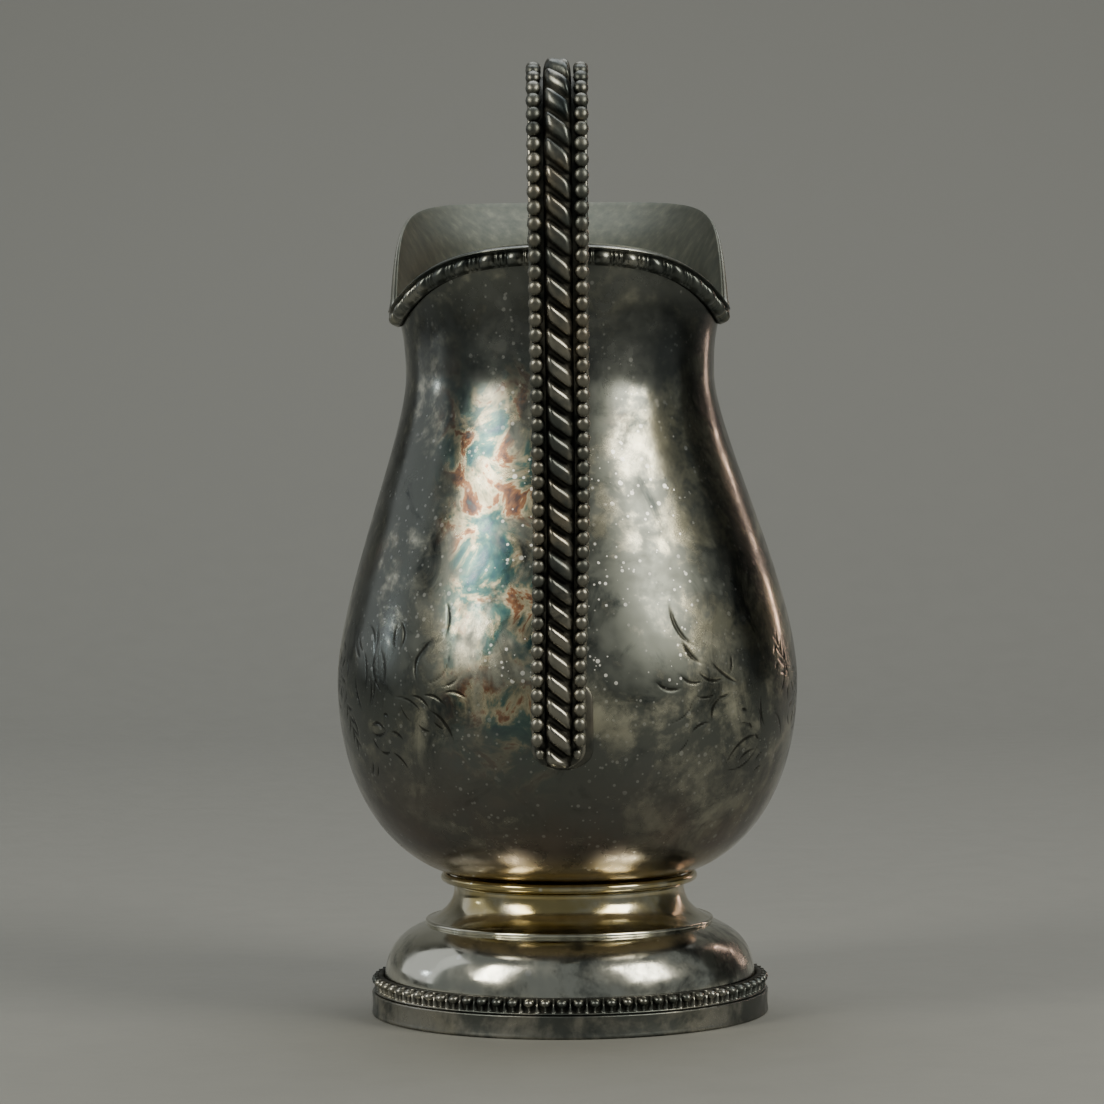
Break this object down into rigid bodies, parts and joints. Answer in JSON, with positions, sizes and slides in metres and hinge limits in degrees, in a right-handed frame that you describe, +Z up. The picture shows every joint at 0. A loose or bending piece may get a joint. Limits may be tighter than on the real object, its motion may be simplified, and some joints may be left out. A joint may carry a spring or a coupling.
{
  "type": "cream jug",
  "caption": "Pear-shaped silver cream jug on a domed foot, with a broad pouring lip, beaded borders and a high looped strap handle.",
  "frame": {"origin": "on the surface that the jug stands on, under the middle of its overall box; the axis of body and foot stands 8.6 mm from it towards the lip", "axes": "+Z up along the axis of body and foot, +Y towards the pouring lip with the handle towards -Y, +X to the right as seen from behind the handle"},
  "size_m": [0.0794, 0.1122, 0.1607],
  "materials": {
    "body_silver": "silver plate with uneven grey-blue tarnish, semi-gloss, bright-cut flowers on both sides of the belly",
    "foot_silver": "silver plate with light golden tarnish, glossy",
    "band_silver": "silver plate, dark tarnish, semi-gloss",
    "rim_silver": "silver plate, dark tarnish in the hollows, semi-gloss",
    "handle_silver": "silver plate, dark tarnish with brown hollows, semi-gloss"
  },
  "bodies": {
    "root": {"body_shell": "body_silver", "rim_moulding_left": "rim_silver", "rim_moulding_right": "rim_silver", "waist_ring": "foot_silver", "foot_shell": "foot_silver", "foot_band": "band_silver", "foot_beading": "band_silver", "handle_strap": "handle_silver", "handle_rope": "handle_silver", "handle_bead_left": "handle_silver", "handle_bead_right": "handle_silver", "handle_lower_seat": "handle_silver"}
  },
  "joints": []
}
